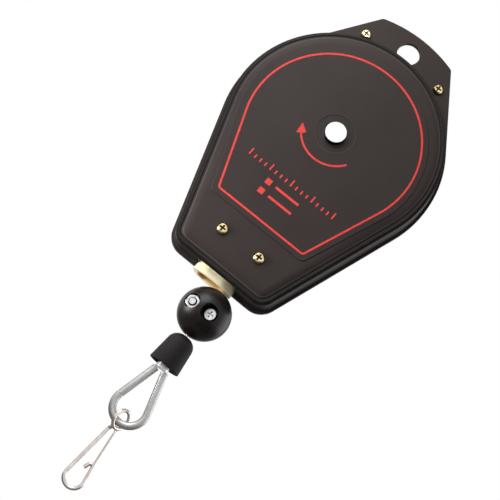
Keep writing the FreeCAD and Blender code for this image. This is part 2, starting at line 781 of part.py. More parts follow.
def pawl():
    """Pawl with its nose behind a tooth, an eye on the pin and a thumb tab."""
    nose_x = -tooth_gap
    nose_z = shaft_z + ratchet_root_radius + tooth_gap
    next_tip = polar(0, shaft_z, ratchet_tip_radius, 90 + 360 / ratchet_teeth)
    pivot = Vector(pawl_pivot_x, 0, pawl_pivot_z)
    arm = prism(polygon_wire([
        Vector(nose_x, 0, nose_z),
        Vector(nose_x, 0, shaft_z + ratchet_tip_radius + pawl_rise),
        Vector(pivot.x, 0, pivot.z + pawl_eye_radius),
        Vector(pivot.x, 0, pivot.z - pawl_eye_radius),
        Vector(next_tip.x, 0, nose_z + pawl_relief),
        Vector(nose_x - pawl_nose, 0, nose_z + pawl_relief),
    ]), pawl_y, pawl_end_y)
    eye = rod(pivot.x, pivot.z, pawl_eye_radius, pawl_y, pawl_end_y)
    # The tail slopes down to the left at 45 degrees.
    tail_end = polar(pivot.x, pivot.z, pawl_tail, 225)
    shift = pawl_tail_half / math.sqrt(2)
    tail = prism(polygon_wire([
        Vector(pivot.x - shift, 0, pivot.z + shift), Vector(pivot.x + shift, 0, pivot.z - shift),
        Vector(tail_end.x + shift / 2, 0, tail_end.z - shift / 2),
        Vector(tail_end.x - shift / 2, 0, tail_end.z + shift / 2),
    ]), pawl_y, pawl_end_y)
    tab = rod(tail_end.x, tail_end.z, pawl_tab_radius, pawl_y, rear_y + pawl_tab_stand)
    hole = rod(pivot.x, pivot.z, pawl_pin_radius + running_gap, pawl_y - spare, pawl_end_y + spare)
    return fuse([arm, eye, tail, tab]).cut(hole)


def pawl_pin():
    """Rivet pin that holds the pawl on the recess floor."""
    flange = pawl_pin_radius + rivet_flange
    return fuse([
        rod(pawl_pivot_x, pawl_pivot_z, pawl_pin_radius, recess_inner_y, pawl_pin_head_y),
        rod(pawl_pivot_x, pawl_pivot_z, flange, recess_inner_y - rivet_head, recess_inner_y),
        rod(pawl_pivot_x, pawl_pivot_z, flange, pawl_pin_head_y, pawl_pin_head_y + rivet_head),
    ])


def pawl_spring():
    """Wire spring round the pin: one leg lies over the pawl, the other bears on the recess wall."""
    inner = pawl_pin_radius + pawl_wire_gap
    outer = inner + 2 * pawl_wire
    flat = (pawl_coil_y - pawl_wire, pawl_coil_y + pawl_wire)
    coil = tube(pawl_pivot_x, pawl_pivot_z, outer, inner, flat[0], flat[1])
    height = (pawl_pivot_z + inner, pawl_pivot_z + outer)
    long_leg = box((pawl_pivot_x, pawl_pivot_x + pawl_leg), flat, height)
    wall_x = -math.sqrt((recess_radius - tooth_gap) ** 2 - (pawl_pivot_up + outer) ** 2)
    short_leg = box((wall_x, pawl_pivot_x), flat, height)
    return fuse([coil, long_leg, short_leg])


# --- Stop ball ---------------------------------------------------------------------------------
# The pieces on the cable are built straight under the hang hole and then turned into its line.
def ball_half(direction):
    """One moulded half; it holds a nut on one side and a screw head on the other."""
    z = -ball_drop
    far = 2 * ball_radius
    ball = Part.makeSphere(ball_radius, Vector(0, 0, z))
    keep = box((-far, far), sorted((direction * ball_split, direction * far)), (z - far, z + far))
    tools = [Part.makeCylinder(cable_radius + running_gap, 2 * far, Vector(0, 0, z - far), Z_AXIS)]
    for side in (-1, 1):
        x = side * ball_screw_x
        tools.append(rod(x, z, ball_screw_radius + hole_clearance, -far, far))
        if side * direction > 0:
            pocket = sorted((direction * ball_nut_floor, direction * far))
            mouth = sorted((direction * (ball_nut_floor + ball_nut_height / 2), direction * far))
            tools.append(hexagon(x, z, ball_nut_half + hole_clearance, pocket[0], pocket[1]))
            tools.append(rod(x, z, ball_rim_radius, mouth[0], mouth[1]))
        else:
            bore = sorted((direction * ball_head_floor, direction * far))
            tools.append(rod(x, z, ball_bore_radius, bore[0], bore[1]))
    return lean_with_cable(cut(ball.common(keep), tools))


def ball_screws():
    """Two clamping screws, one from the front and one from the back."""
    screws = []
    z = -ball_drop
    top = -ball_head_floor - ball_bolt_head
    for side in (-1, 1):
        x = side * ball_screw_x
        head = rod(x, z, ball_bolt_head_radius, top, -ball_head_floor)
        shank = rod(x, z, ball_screw_radius, -ball_head_floor,
                    ball_nut_floor + ball_nut_height + ball_screw_end)
        slots = cross(x, z, ball_bolt_head_radius * recess_share, (top - spare, top + recess_depth))
        screw = cut(fuse([head, shank]), slots)
        if side < 0:
            screw.rotate(Vector(x, 0, z), Z_AXIS, 180)
        screws.append(lean_with_cable(screw))
    return Part.makeCompound(screws)


def ball_nuts():
    """Nuts with their corners turned round."""
    nuts = []
    for side in (-1, 1):
        x = side * ball_screw_x
        start, end = sorted((side * ball_nut_floor, side * (ball_nut_floor + ball_nut_height)))
        corners = rod(x, -ball_drop, ball_nut_half * nut_rounding, start, end)
        piece = nut(x, -ball_drop, ball_nut_half, ball_screw_radius, start, end).common(corners)
        nuts.append(lean_with_cable(piece))
    return Part.makeCompound(nuts)


# --- Cone, ferrule and loop --------------------------------------------------------------------
def bell_wire(top, base):
    """Half section of the bell: neck, round shoulder and a side that flares to the base."""
    neck = Vector(cone_neck_radius, 0, top)
    shoulder = Vector(cone_shoulder_radius, 0, top - cone_shoulder_drop)
    bulge = Vector(0.36 * neck.x + 0.64 * shoulder.x, 0, 0.7 * neck.z + 0.3 * shoulder.z)
    foot = Vector(cone_base_radius, 0, base)
    return Part.Wire([
        line(Vector(0, 0, top), neck),
        Part.Arc(neck, bulge, shoulder).toShape(),
        line(shoulder, foot),
        line(foot, Vector(0, 0, base)),
        line(Vector(0, 0, base), Vector(0, 0, top)),
    ])


def rubber_cone():
    """Bell-shaped rubber cover over the ferrule, open at its base."""
    outside = Part.Face(bell_wire(cone_z, cone_base_z)).revolve(Vector(0, 0, 0), Z_AXIS, 360)
    mouth_radius = cone_base_radius - cone_wall
    bore = revolve_about_cable([
        (0, cone_z + spare),
        (cable_radius + running_gap, cone_z + spare),
        (cable_radius + running_gap, cone_z - cone_crown),
        (ferrule_radius + running_gap, cone_z - cone_crown),
        (ferrule_radius + running_gap, cone_base_z + cone_mouth),
        (mouth_radius, cone_base_z),
        (mouth_radius, cone_base_z - spare),
        (0, cone_base_z - spare),
    ])
    return lean_with_cable(outside.cut(bore))


def hanging_cable():
    """Cable from the ball's mouth down into the ferrule."""
    top = Vector(0, 0, -ball_drop + ball_radius)
    low = Vector(0, 0, ferrule_end_z + ferrule_length / 2)
    return lean_with_cable(stick(low, top, cable_radius))


def cable_ferrule():
    """Crimped ferrule: the cable goes in at the top, and the loop's two limbs meet its foot."""
    body = Part.makeCylinder(ferrule_radius, ferrule_length, Vector(0, 0, ferrule_end_z), Z_AXIS)
    middle = Vector(0, 0, ferrule_end_z + ferrule_length / 2)
    bore = Part.makeCylinder(cable_radius, ferrule_length, middle, Z_AXIS)
    return lean_with_cable(body.cut(bore))


def loop_path():
    """Middle line of the loop: two straight limbs and the round bottom between them."""
    centre_z = loop_bottom_z + loop_radius
    top = Vector(loop_spread, 0, ferrule_end_z)
    away = math.hypot(top.x, top.z - centre_z)
    turn = math.degrees(math.atan2(top.z - centre_z, top.x) - math.acos(loop_radius / away))
    return top, turn, centre_z


def limb_cut(z):
    """Point of the right limb's middle line at a height."""
    top, turn, centre_z = loop_path()
    touch = polar(0, centre_z, loop_radius, turn)
    share = (top.z - z) / (top.z - touch.z)
    return top + (touch - top) * share


def bent_bar(legs, radius):
    """Round bar from straight legs and bends in the XZ plane.

    Each leg is a start and an end point; each bend is a centre, its radius and two angles.
    """
    solids = []
    for leg in legs:
        if len(leg) == 2:
            solids.append(stick(leg[0], leg[1], radius))
        else:
            solids.append(bend(leg[0], leg[1], leg[2], leg[3], radius))
    return solids[0].multiFuse(solids[1:])


def bend(centre, bend_radius, start, end, radius):
    """Part of a ring in the XZ plane, from one angle to another."""
    from_point = polar(centre.x, centre.z, bend_radius, start)
    across = Vector(-math.sin(math.radians(start)), 0, math.cos(math.radians(start)))
    section = Part.Face(Part.Wire(Part.Circle(from_point, across, radius).toShape()))
    return section.revolve(centre, -Y_AXIS, end - start)


def loop_piece(radius, left_z, right_z):
    """Round bar along the loop between two heights, round its bottom."""
    top, turn, centre_z = loop_path()
    touch = polar(0, centre_z, loop_radius, turn)
    right = limb_cut(right_z)
    left = limb_cut(left_z)
    return bent_bar([
        (Vector(-left.x, 0, left.z), Vector(-touch.x, 0, touch.z)),
        (Vector(0, 0, centre_z), loop_radius, 180 - turn, 360 + turn),
        (touch, right),
    ], radius)


def cable_loop():
    """The cable itself, hidden in its sleeves."""
    top = ferrule_end_z - loop_end_gap
    return lean_with_cable(loop_piece(cable_radius, top, top))


def loop_sheath():
    """Closely wound wire sheath round the bottom and the right limb."""
    joint = loop_bottom_z + sleeve_joint_up
    top = ferrule_end_z - sleeve_cut
    return lean_with_cable(loop_piece(sleeve_radius, joint, top).cut(loop_piece(sleeve_bore, joint, top)))


def loop_sleeve():
    """Smooth seamed sleeve on the left limb."""
    top = limb_cut(ferrule_end_z - sleeve_cut)
    low = limb_cut(loop_bottom_z + sleeve_joint_up + sleeve_cut / 2)
    top = Vector(-top.x, 0, top.z)
    low = Vector(-low.x, 0, low.z)
    return lean_with_cable(stick(low, top, sleeve_radius).cut(stick(low, top, sleeve_bore)))


# --- Snap hook ---------------------------------------------------------------------------------
def snap_hook():
    """One bent wire: turned eye, back leg, bottom bend, riser and the tip bent over the gate."""
    eye = Part.makeTorus(eye_radius, wire_radius, Vector(0, 0, eye_centre_z), Y_AXIS)
    eye.rotate(Vector(0, 0, eye_centre_z), Z_AXIS, eye_turn)
    bow = Vector(-bow_shift, 0, hook_bottom_z + bow_radius)
    neck = Vector(-neck_shift, 0, eye_bottom_z - neck_drop)
    # The back leg touches the bottom bend, so its direction gives the bend's first angle.
    distance = math.hypot(neck.x - bow.x, neck.z - bow.z)
    toward = math.degrees(math.atan2(neck.z - bow.z, neck.x - bow.x))
    first = toward + math.degrees(math.acos(bow_radius / distance))
    riser_foot = polar(bow.x, bow.z, bow_radius, riser_lean)
    riser_top = riser_foot + Vector(-math.sin(math.radians(riser_lean)), 0,
                                    math.cos(math.radians(riser_lean))) * riser_length
    # The tip bends over to the left in front of the gate and points down.
    tip_centre = riser_top + Vector(-math.cos(math.radians(riser_lean)), 0,
                                    -math.sin(math.radians(riser_lean))) * tip_bend
    tip_end = polar(tip_centre.x, tip_centre.z, tip_bend, riser_lean + tip_angle)
    tip_way = Vector(-math.sin(math.radians(riser_lean + tip_angle)), 0,
                     math.cos(math.radians(riser_lean + tip_angle)))
    gate_top, gate_low = gate_ends()
    # A short stub leads from the eye into the gate's line.
    gate_way = (gate_top - gate_low).normalize()
    stub_end = gate_top + gate_way * gate_gap
    elbow = stub_end + gate_way * gate_stub
    solids = [eye, stick(eye_point(-neck_turn), neck, wire_radius), Part.makeSphere(wire_radius, neck),
              stick(eye_point(neck_turn), elbow, gate_wire_radius), Part.makeSphere(gate_wire_radius, elbow),
              stick(elbow, stub_end, gate_wire_radius),
              stick(neck, polar(bow.x, bow.z, bow_radius, first), wire_radius),
              bend(bow, bow_radius, first, 360 + riser_lean, wire_radius),
              stick(riser_foot, riser_top, wire_radius),
              bend(tip_centre, tip_bend, riser_lean, riser_lean + tip_angle, wire_radius),
              stick(tip_end, tip_end + tip_way * tip_length, wire_radius)]
    return lean_with_cable(fuse(solids))


def eye_point(degrees):
    """Point of the eye's middle line at an angle from its lowest point."""
    turn = math.radians(degrees)
    across = eye_radius * math.sin(turn)
    heading = math.radians(eye_turn)
    return Vector(across * math.cos(heading), across * math.sin(heading),
                  eye_centre_z - eye_radius * math.cos(turn))


def gate_ends():
    top = Vector(gate_top_x, 0, eye_bottom_z - gate_top_drop)
    low = Vector(gate_low_x, gate_behind, hook_bottom_z + gate_low_up)
    return top, low


def snap_gate():
    """Straight springy leg from the eye down behind the hook's tip."""
    top, low = gate_ends()
    return lean_with_cable(stick(low, top, gate_wire_radius))


# --- Write one file per piece ------------------------------------------------------------------
PIECES = {
    "front_shell": front_shell,
    "rear_shell": rear_shell,
    "hang_plate_screws": lambda: both_sides(plate_screw),
    "hang_plate_nuts": lambda: both_sides(plate_nut),
    "case_screws": lambda: both_sides(case_screw),
    "case_nuts": lambda: both_sides(case_nut),
    "case_spacers": lambda: both_sides(case_spacer),
    "cable_guide": cable_guide,
    "cable_lead": cable_lead,
    "front_bush": front_bush,
    "rear_bush": rear_bush,
    "pawl_pin": pawl_pin,
    "pawl_spring": pawl_spring,
    "spring_shaft": spring_shaft,
    "thrust_washer": thrust_washer,
    "shaft_retaining_ring": shaft_retaining_ring,
    "ratchet_wheel": ratchet_wheel,
    "pawl": pawl,
    "cable_drum": cable_drum,
    "drum_cover": drum_cover,
    "drum_cover_screws": cover_screws,
    "drum_bushes": drum_bushes,
    "mainspring": mainspring,
    "wound_cable": wound_cable,
    "free_cable": free_cable,
    "hanging_cable": hanging_cable,
    "stop_ball_front": lambda: ball_half(-1),
    "stop_ball_rear": lambda: ball_half(1),
    "ball_screws": ball_screws,
    "ball_nuts": ball_nuts,
    "rubber_cone": rubber_cone,
    "cable_ferrule": cable_ferrule,
    "cable_loop": cable_loop,
    "loop_sheath": loop_sheath,
    "loop_sleeve": loop_sleeve,
    "snap_hook": snap_hook,
    "snap_gate": snap_gate,
}

os.makedirs("parts", exist_ok=True)
for name, builder in PIECES.items():
    builder().exportStep("parts/" + name + ".step")
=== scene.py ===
import bpy
import json
import math
from mathutils import Matrix, Vector


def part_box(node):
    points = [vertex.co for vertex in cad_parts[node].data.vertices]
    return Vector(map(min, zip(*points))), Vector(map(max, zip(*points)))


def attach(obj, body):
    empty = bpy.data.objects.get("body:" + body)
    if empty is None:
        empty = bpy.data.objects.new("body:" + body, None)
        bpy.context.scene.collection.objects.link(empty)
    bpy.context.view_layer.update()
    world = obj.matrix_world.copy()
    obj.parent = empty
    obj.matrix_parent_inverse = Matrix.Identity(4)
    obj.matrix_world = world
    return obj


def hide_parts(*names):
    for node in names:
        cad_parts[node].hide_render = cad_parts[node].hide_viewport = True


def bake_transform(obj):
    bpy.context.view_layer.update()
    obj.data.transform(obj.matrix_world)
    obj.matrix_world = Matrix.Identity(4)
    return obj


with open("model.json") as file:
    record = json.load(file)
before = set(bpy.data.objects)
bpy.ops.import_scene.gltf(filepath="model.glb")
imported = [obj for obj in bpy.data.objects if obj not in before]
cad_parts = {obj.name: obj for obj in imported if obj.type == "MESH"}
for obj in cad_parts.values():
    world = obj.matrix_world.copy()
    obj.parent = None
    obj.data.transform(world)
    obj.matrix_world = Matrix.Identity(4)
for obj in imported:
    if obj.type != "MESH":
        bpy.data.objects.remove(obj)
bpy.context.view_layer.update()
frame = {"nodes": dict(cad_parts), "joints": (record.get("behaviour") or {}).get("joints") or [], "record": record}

# Spring tool balancer. Metres, +Z up, front towards -Y, the hang hole at the origin.
# Angles in the face run counter-clockwise from +X, seen from the front.

MM = 0.001
across_case = Vector((0, 1, 0))


# --- Places that the frame gives ---------------------------------------------------------------
def right_screw(screws):
    """X and Z of the right one of two level screws; their heads are as tall as the node's box."""
    low, high = [Vector(corner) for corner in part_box(screws)]
    head_radius = (high.z - low.z) / 2
    return high.x - head_radius, (low.z + high.z) / 2


def outer_place(node_name, side):
    """Middle of what the node has in front of (-1) or behind (1) the middle plane."""
    corners = [vertex.co for vertex in frame["nodes"][node_name].data.vertices if vertex.co.y * side > 0]
    return Vector([(min(c[k] for c in corners) + max(c[k] for c in corners)) / 2 for k in range(3)])


joints = {joint["name"]: joint for joint in frame["joints"]}
shaft_z = joints["tension_adjust"]["pos_m"][2]
pull = Vector(joints["cable_pull"]["axis"])
face_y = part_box("front_shell")[0][1]
shaft_end_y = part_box("spring_shaft")[0][1]
screw_places = [right_screw("hang_plate_screws"), right_screw("case_screws")]
body_of = {node: body for body, nodes in frame["record"]["behaviour"]["bodies"].items() for node in nodes}
slot_of = {part["node"]: part["material_slot"] for part in frame["record"]["subparts"]}

# --- Places of the painted shade and painted highlights in the finishes; a pair is a middle or a radius, and half a width -----
# painted shade on the riser between the two ledges
ledge_shade = (face_y + 1.95 * MM, 0.36 * MM)
# painted highlights along the two ledges
upper_ledge_highlight = (face_y + 1.46 * MM, 0.12 * MM)
lower_ledge_highlight = (face_y + 2.56 * MM, 0.12 * MM)
# painted shade on the side walls, from wall_front back to wall_back
wall_front = face_y + 2.7 * MM
wall_back = face_y + 11.5 * MM
wall_shade = ((wall_front + wall_back) / 2, (wall_back - wall_front) / 2)
# painted highlight in a ring round the shaft's dimple
dimple_highlight = (10.4 * MM, 0.22 * MM)
dimple_back = face_y + 1 * MM
# painted shade in the screws' cross recesses
recess_half = 0.5 * MM
recess_arm = 1.75 * MM
# painted shade round the edges of the screw heads
head_edge_shade = (2.85 * MM, 0.4 * MM)
# painted shade in the gap between each ball screw and its nut
nut_gap_shade = (1.95 * MM, 0.32 * MM)
# painted shade on the shaft's stub in front of the case
stub_back = face_y + 1.5 * MM
# painted amber shade in the guide's bore
bore_half_x = 8.9 * MM
bore_half_y = 5.0 * MM

# --- Sizes of what is printed on the face --------------------------------------------------------
ink_thickness = 0.06 * MM
first_stretch = 0.02 * MM     # start of a line, taken up when its joints are closed
joint_reach = 0.03 * MM       # corners closer together than this become one

line_width = 1.05 * MM
line_radius = 46.0 * MM
line_centre_drop = 2.4 * MM
line_bottom_drop = 60.3 * MM
line_corner_x = 26.9 * MM
line_corner_radius = 1.6 * MM
line_steps = 120
line_corner_steps = 6

arrow_radius = 17.5 * MM
arrow_width = 1.05 * MM
arrow_tail = 327
arrow_neck = 219
arrow_tip = 200
arrow_steps = 40
arrow_head_width = 5.2 * MM
arrow_shoulder = 0.04 * MM
arrow_point = 0.01            # width of the tip, as a share of the head's

scale_strokes = 17
scale_half = 26.5 * MM
scale_drop = 36.9 * MM
long_stroke_every = 4
long_stroke = 3.8 * MM
short_stroke = 2.2 * MM
stroke_width = 0.8 * MM
row_drops = (42 * MM, 48 * MM)
square_x = -11.2 * MM
square_side = 3.2 * MM
bar_x = -5.0 * MM
bar_length = 14.5 * MM
bar_width = 1.3 * MM

# --- Soft edges of the rounded pieces --------------------------------------------------------------
shell_edge = 0.4 * MM
guide_edge = 0.4 * MM
bell_edge = 0.5 * MM
screw_head_edge = 0.3 * MM
ball_edge = 0.3 * MM
clamping_screw_edge = 0.2 * MM
clamping_nut_edge = 0.55 * MM
edge_segments = 3
flat_below = math.radians(1)      # a bend of less than this is taken as flat
round_above = math.radians(34)    # a bend of more than this is rounded
smooth_below = math.radians(32)   # a bend of less than this is shaded smooth

# --- Sizes of the other added pieces -------------------------------------------------------------
ball_turn = math.radians(12)
shaft_face_radius = 5.5 * MM
shaft_face_lift = 0.02 * MM
shaft_face_rim = 0.6 * MM
cable_radius = 0.96 * MM
cable_end_lift = 0.4 * MM     # the cable ends this far above its solid's lowest point
cable_corners = 18
strand_corners = 3            # corners of the section per strand
strand_groove = 0.84
cable_steps = 24
cable_lay = 2.2 * MM          # length in which the strands turn by one radian
cable_smooth_below = math.radians(40)


# --- Finishes ----------------------------------------------------------------------------------
class Finish:
    """Material with one Principled shader, whose pattern lies on Object coordinates."""

    def __init__(self, name, roughness, metallic=0.0):
        self.material = bpy.data.materials.new(name)
        self.material.use_nodes = True
        self.nodes = self.material.node_tree.nodes
        self.links = self.material.node_tree.links
        self.shader = self.nodes["Principled BSDF"]
        self.place = self.nodes.new("ShaderNodeTexCoord").outputs["Object"]
        self.plain("Roughness", roughness)
        self.plain("Metallic", metallic)

    def plain(self, socket, value):
        """One value all over, on the shader's own socket."""
        self.shader.inputs[socket].default_value = value

    def patterned(self, socket, value):
        """A value that varies over the piece."""
        self.links.new(value, self.shader.inputs[socket])

    def noise(self, scale, detail, stretch=None):
        """Cloudy pattern, which may be stretched into a grain."""
        place = self.place
        if stretch:
            mapping = self.nodes.new("ShaderNodeMapping")
            mapping.inputs["Scale"].default_value = stretch
            self.links.new(place, mapping.inputs["Vector"])
            place = mapping.outputs["Vector"]
        texture = self.nodes.new("ShaderNodeTexNoise")
        texture.inputs["Scale"].default_value = scale
        texture.inputs["Detail"].default_value = detail
        texture.inputs["Roughness"].default_value = 0.55
        self.links.new(place, texture.inputs["Vector"])
        return texture.outputs["Fac"]

    def colours(self, value, *stops):
        """Colour from the value, by (position, colour) stops."""
        node = self.nodes.new("ShaderNodeValToRGB")
        elements = node.color_ramp.elements
        elements[0].position, elements[0].color = stops[0][0], (*stops[0][1], 1.0)
        elements[1].position, elements[1].color = stops[-1][0], (*stops[-1][1], 1.0)
        for position, colour in stops[1:-1]:
            elements.new(position).color = (*colour, 1.0)
        self.links.new(value, node.inputs["Fac"])
        return node.outputs["Color"]

    def mottled(self, scale, detail, dark, light):
        """Two shades in cloudy patches."""
        return self.colours(self.noise(scale, detail), (0.3, dark), (0.7, light))

    def uneven_gloss(self, scale, low, high):
        node = self.nodes.new("ShaderNodeMapRange")
        node.inputs["To Min"].default_value = low
        node.inputs["To Max"].default_value = high
        self.links.new(self.noise(scale, 2), node.inputs["Value"])
        self.patterned("Roughness", node.outputs["Result"])

    def fine_bumps(self, scale, detail, strength, height):
        node = self.nodes.new("ShaderNodeBump")
        node.inputs["Strength"].default_value = strength
        node.inputs["Distance"].default_value = height
        self.links.new(self.noise(scale, detail), node.inputs["Height"])
        self.patterned("Normal", node.outputs["Normal"])

    def maths(self, operation, *values):
        """Math node; each value is a number or a socket."""
        node = self.nodes.new("ShaderNodeMath")
        node.operation = operation
        for k, value in enumerate(values):
            if isinstance(value, (int, float)):
                node.inputs[k].default_value = value
            else:
                self.links.new(value, node.inputs[k])
        return node.outputs[0]

    def band(self, value, place, strength):
        """Mask of this strength where the value is within half a width of the middle."""
        middle, half_width = place
        return self.maths("MULTIPLY", self.maths("COMPARE", value, middle, half_width), strength)

    def either(self, masks):
        """Mask of all that lies in any of the masks."""
        joined = masks[0]
        for mask in masks[1:]:
            joined = self.maths("MAXIMUM", joined, mask)
        return joined

    def axes(self):
        node = self.nodes.new("ShaderNodeSeparateXYZ")
        self.links.new(self.place, node.inputs[0])
        return node.outputs[0], node.outputs[1], node.outputs[2]

    def vector_maths(self, operation, value, constant=None):
        node = self.nodes.new("ShaderNodeVectorMath")
        node.operation = operation
        self.links.new(value, node.inputs[0])
        if constant is not None:
            node.inputs[1].default_value = constant
        return node

    def away_from(self, centre, way):
        """Distance from the axis through the centre along the way."""
        offset = self.vector_maths("SUBTRACT", self.place, centre).outputs["Vector"]
        across = self.vector_maths("CROSS_PRODUCT", offset, way).outputs["Vector"]
        return self.vector_maths("LENGTH", across).outputs["Value"]

    def tinted(self, colour, mask, tint):
        """The colour, and where the mask is 1 the tint."""
        node = self.nodes.new("ShaderNodeMix")
        node.data_type = "RGBA"
        self.links.new(mask, node.inputs["Factor"])
        self.links.new(colour, node.inputs[6])
        node.inputs[7].default_value = (*tint, 1.0)
        return node.outputs[2]


def case_paint():
    """Satin black-brown enamel, with painted shade on the walls and between the two ledges, and painted highlights
    on the ledges and round the dimple.
    """
    paint = Finish("case_paint", 0.5)
    paint.plain("Specular IOR Level", 0.09)
    colour = paint.mottled(22, 4, (0.0352, 0.0272, 0.0256), (0.0435, 0.0342, 0.0324))
    _, along_y, _ = paint.axes()
    # Painted shade on the side walls and on the riser between the two ledges.
    wall_shade_mask = paint.band(along_y, wall_shade, strength=0.85)
    ledge_shade_mask = paint.band(along_y, ledge_shade, strength=0.55)
    colour = paint.tinted(colour, paint.either([wall_shade_mask, ledge_shade_mask]), (0.010, 0.0082, 0.0078))
    # Painted highlights along the two ledges.
    lights = [paint.band(along_y, light, strength=0.7) for light in (upper_ledge_highlight, lower_ledge_highlight)]
    colour = paint.tinted(colour, paint.either(lights), (0.085, 0.080, 0.076))
    # Painted highlight in a ring round the shaft's dimple, on the front only.
    away = paint.away_from(Vector((0, 0, shaft_z)), across_case)
    front = paint.maths("LESS_THAN", along_y, dimple_back)
    dimple_highlight_mask = paint.maths("MULTIPLY", paint.band(away, dimple_highlight, strength=0.5), front)
    paint.patterned("Base Color", paint.tinted(colour, dimple_highlight_mask, (0.085, 0.082, 0.078)))
    paint.uneven_gloss(180, 0.42, 0.56)
    paint.fine_bumps(1400, 2, 0.08, 0.2 * MM)
    return paint.material


def red_print():
    """Screen-printed ink, slightly uneven."""
    ink = Finish("red_print", 0.6)
    ink.plain("Specular IOR Level", 0.15)
    ink.patterned("Base Color", ink.colours(ink.noise(900, 3), (0.25, (0.62, 0.045, 0.040)),
                                            (0.7, (0.80, 0.075, 0.062))))
    ink.fine_bumps(2500, 2, 0.1, 0.1 * MM)
    return ink.material


def yellow_zinc():
    """Yellow passivated zinc: pale gold in patches, with painted shade in the cross recesses and round the head
    edges.
    """
    zinc = Finish("yellow_zinc", 0.25, 1.0)
    zinc.plain("Specular Tint", (0.35, 0.24, 0.12, 1.0))
    plating = zinc.colours(zinc.noise(260, 2), (0.3, (0.62, 0.46, 0.20)), (0.5, (0.82, 0.68, 0.38)),
                           (0.72, (0.90, 0.82, 0.60)))
    along_x, _, along_z = zinc.axes()
    from_middle = zinc.maths("ABSOLUTE", along_x)
    # Painted shade round the head edges and in the cross recesses.
    dark = []
    for screw_x, screw_z in screw_places:
        for side in (-1, 1):
            away = zinc.away_from(Vector((side * screw_x, 0, screw_z)), across_case)
            dark.append(zinc.band(away, head_edge_shade, strength=0.75))
        for half_x, half_z in ((recess_half, recess_arm), (recess_arm, recess_half)):
            in_x = zinc.maths("COMPARE", from_middle, screw_x, half_x)
            in_z = zinc.maths("COMPARE", along_z, screw_z, half_z)
            dark.append(zinc.maths("MULTIPLY", in_x, in_z))
    zinc.patterned("Base Color", zinc.tinted(plating, zinc.either(dark), (0.05, 0.032, 0.015)))
    zinc.uneven_gloss(900, 0.14, 0.28)
    return zinc.material


def bright_steel():
    """Turned, bright zinc-plated steel."""
    steel = Finish("bright_steel", 0.3, 1.0)
    steel.plain("Specular Tint", (0.4, 0.4, 0.4, 1.0))
    steel.patterned("Base Color", steel.mottled(400, 2, (0.48, 0.48, 0.49), (0.62, 0.62, 0.62)))
    steel.uneven_gloss(1800, 0.16, 0.30)
    return steel.material


def ball_fastener_steel():
    """Plated nuts and screws of the ball, with painted shade in the gap between screw and nut."""
    steel = Finish("ball_fastener_steel", 0.32, 1.0)
    steel.plain("Specular Tint", (0.3, 0.3, 0.3, 1.0))
    colour = steel.mottled(700, 2, (0.40, 0.40, 0.41), (0.66, 0.66, 0.66))
    turned = Matrix.Rotation(ball_turn, 3, pull)
    _, along_y, _ = steel.axes()
    # Painted shade in the gap between each screw's end and its nut.
    gap_shades = []
    for side in (-1, 1):
        away = steel.away_from(turned @ outer_place("ball_nuts", side), turned @ across_case)
        outside = steel.maths("GREATER_THAN", steel.maths("MULTIPLY", along_y, side), 0.0)
        gap_shades.append(steel.maths("MULTIPLY", steel.maths("COMPARE", away, *nut_gap_shade), outside))
    steel.patterned("Base Color", steel.tinted(colour, steel.either(gap_shades), (0.02, 0.02, 0.02)))
    return steel.material


def shaft_steel():
    """Plain steel inside and behind, with painted shade on the stub in front of the case."""
    steel = Finish("shaft_steel", 0.3, 1.0)
    colour = steel.mottled(400, 2, (0.62, 0.62, 0.63), (0.78, 0.78, 0.78))
    _, along_y, _ = steel.axes()
    # Painted shade on the stub in front of the case.
    stub_shade = steel.maths("LESS_THAN", along_y, stub_back)
    steel.patterned("Base Color", steel.tinted(colour, stub_shade, (0.012, 0.011, 0.011)))
    steel.uneven_gloss(1800, 0.25, 0.40)
    return steel.material


def shaft_face():
    """Faced and clear-lacquered end of the shaft, nearly white."""
    face = Finish("shaft_face", 0.5)
    face.patterned("Base Color", face.mottled(500, 3, (0.90, 0.90, 0.90), (0.96, 0.96, 0.96)))
    face.fine_bumps(1800, 2, 0.05, 0.1 * MM)
    return face.material


def spring_steel():
    """Blued spring strip."""
    steel = Finish("spring_steel", 0.35, 1.0)
    steel.patterned("Base Color", steel.mottled(150, 3, (0.17, 0.18, 0.22), (0.28, 0.28, 0.30)))
    return steel.material


def beige_nylon():
    """Natural nylon, bright outside, with painted amber shade in the bore, slightly translucent at its edges."""
    nylon = Finish("beige_nylon", 0.38)
    nylon.plain("Subsurface Weight", 0.2)
    nylon.plain("Subsurface Radius", (4.0 * MM, 2.2 * MM, 1.0 * MM))
    nylon.plain("Subsurface Scale", 0.5)
    colour = nylon.mottled(160, 3, (1.0, 0.84, 0.54), (1.0, 0.90, 0.64))
    along_x, along_y, _ = nylon.axes()
    # Painted amber shade in the bore.
    in_x = nylon.maths("COMPARE", along_x, 0.0, bore_half_x)
    in_y = nylon.maths("COMPARE", along_y, 0.0, bore_half_y)
    bore_shade = nylon.maths("MULTIPLY", in_x, in_y)
    nylon.patterned("Base Color", nylon.tinted(colour, bore_shade, (0.72, 0.38, 0.10)))
    nylon.fine_bumps(1200, 2, 0.06, 0.2 * MM)
    return nylon.material


def black_nylon():
    """Moulded bushes and washers."""
    nylon = Finish("black_nylon", 0.55)
    nylon.patterned("Base Color", nylon.mottled(300, 3, (0.010, 0.009, 0.009), (0.016, 0.015, 0.014)))
    return nylon.material


def drum_plastic():
    """Dark grey moulded drum."""
    plastic = Finish("drum_plastic", 0.5)
    plastic.patterned("Base Color", plastic.mottled(120, 3, (0.05, 0.05, 0.055), (0.075, 0.075, 0.08)))
    return plastic.material


